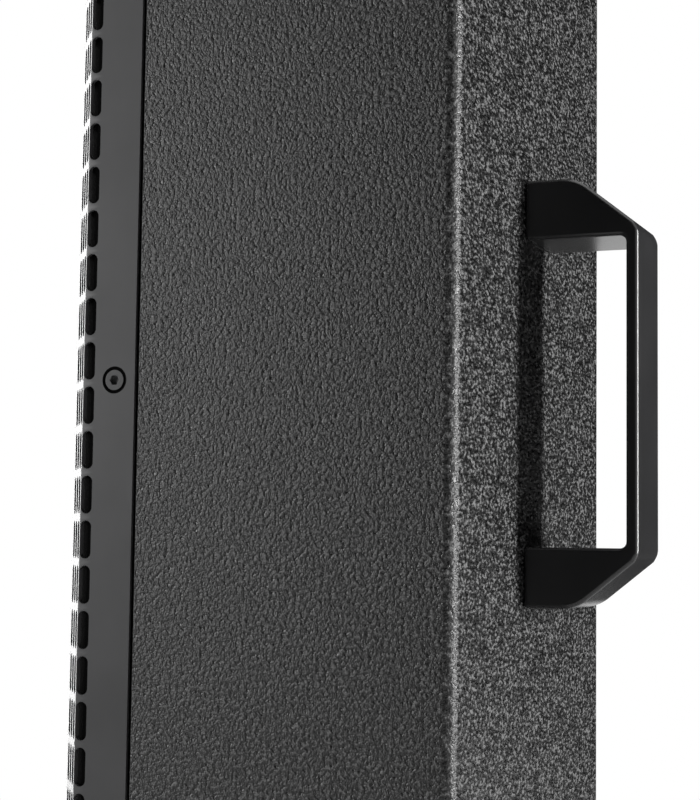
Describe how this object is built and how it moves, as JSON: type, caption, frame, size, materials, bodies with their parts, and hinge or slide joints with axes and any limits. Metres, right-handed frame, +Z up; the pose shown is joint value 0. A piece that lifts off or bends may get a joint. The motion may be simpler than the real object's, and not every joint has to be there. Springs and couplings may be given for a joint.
{
  "type": "line array speaker",
  "caption": "Slim black passive column loudspeaker with a folded slotted steel grille, textured plywood cabinet and a rear bar handle",
  "frame": {"origin": "on the standing surface, under the middle of the whole box with the handle", "axes": "+Z up along the column, -Y out of the front grille, +Y out of the rear with the handle, +X to the right seen from the front"},
  "size_m": [0.2, 0.2126, 0.725],
  "materials": {
    "textured_paint": "plywood sprayed with coarse textured black paint",
    "bare_plywood": "plain birch plywood",
    "wadding": "polyester wadding",
    "powder_coat": "fine satin black powder coat",
    "foam": "open black acoustic foam",
    "black_steel": "blackened steel",
    "black_plastic": "moulded black plastic",
    "brass": "turned brass",
    "plated_steel": "zinc plated steel",
    "paper_cone": "pressed black paper",
    "rubber": "black rubber",
    "spider_cloth": "resin-stiffened cloth",
    "ferrite": "ground ferrite",
    "dome_metal": "thin formed metal",
    "circuit_board": "green board",
    "copper_wire": "enamelled copper winding",
    "capacitor_film": "film capacitor cans"
  },
  "bodies": {
    "cabinet": {"side_panel_left": "textured_paint", "side_panel_right": "textured_paint", "top_panel": "textured_paint", "bottom_panel": "textured_paint", "rear_panel": "textured_paint", "front_baffle": "bare_plywood", "braces": "bare_plywood", "wadding_pads": "wadding", "grille_sheet": "powder_coat", "grille_foam": "foam", "grille_screws": "black_steel", "grille_inserts": "brass", "handle": "black_plastic", "handle_inserts": "brass", "handle_screws": "plated_steel", "basket_1": "powder_coat", "basket_2": "powder_coat", "basket_3": "powder_coat", "basket_4": "powder_coat", "motor_1": "plated_steel", "motor_2": "plated_steel", "motor_3": "plated_steel", "motor_4": "plated_steel", "surround_1": "rubber", "surround_2": "rubber", "surround_3": "rubber", "surround_4": "rubber", "spider_1": "spider_cloth", "spider_2": "spider_cloth", "spider_3": "spider_cloth", "spider_4": "spider_cloth", "woofer_gaskets": "rubber", "woofer_screws": "plated_steel", "waveguide": "black_plastic", "waveguide_screws": "plated_steel", "horn_driver_plate": "plated_steel", "horn_driver_magnet": "ferrite", "horn_driver_cover": "black_plastic", "crossover_board": "circuit_board", "board_spacers": "brass", "inductors": "copper_wire", "capacitors": "capacitor_film", "connector_plate": "powder_coat", "plate_gasket": "rubber", "plate_screws": "plated_steel", "socket_in": "black_plastic", "socket_out": "black_plastic", "pole_socket": "powder_coat", "pole_socket_screws": "plated_steel", "rigging_inserts": "brass", "rubber_feet": "rubber", "foot_screws": "plated_steel"},
    "woofer_cone_1": {"cone_1": "paper_cone"},
    "woofer_cone_2": {"cone_2": "paper_cone"},
    "woofer_cone_3": {"cone_3": "paper_cone"},
    "woofer_cone_4": {"cone_4": "paper_cone"},
    "horn_dome": {"horn_diaphragm": "dome_metal"}
  },
  "joints": [
    {"name": "woofer_1_travel", "type": "slide", "parent": "cabinet", "child": "woofer_cone_1", "axis": [0, -1, 0], "range_m": [-0.003, 0.003], "stiffness_N_per_m": 1250, "deforming": ["surround_1", "spider_1"]},
    {"name": "woofer_2_travel", "type": "slide", "parent": "cabinet", "child": "woofer_cone_2", "axis": [0, -1, 0], "range_m": [-0.003, 0.003], "stiffness_N_per_m": 1250, "deforming": ["surround_2", "spider_2"]},
    {"name": "woofer_3_travel", "type": "slide", "parent": "cabinet", "child": "woofer_cone_3", "axis": [0, -1, 0], "range_m": [-0.003, 0.003], "stiffness_N_per_m": 1250, "deforming": ["surround_3", "spider_3"]},
    {"name": "woofer_4_travel", "type": "slide", "parent": "cabinet", "child": "woofer_cone_4", "axis": [0, -1, 0], "range_m": [-0.003, 0.003], "stiffness_N_per_m": 1250, "deforming": ["surround_4", "spider_4"]},
    {"name": "horn_dome_travel", "type": "slide", "parent": "cabinet", "child": "horn_dome", "axis": [0, -1, 0], "range_m": [-0.00025, 0.00025], "stiffness_N_per_m": 3000}
  ]
}
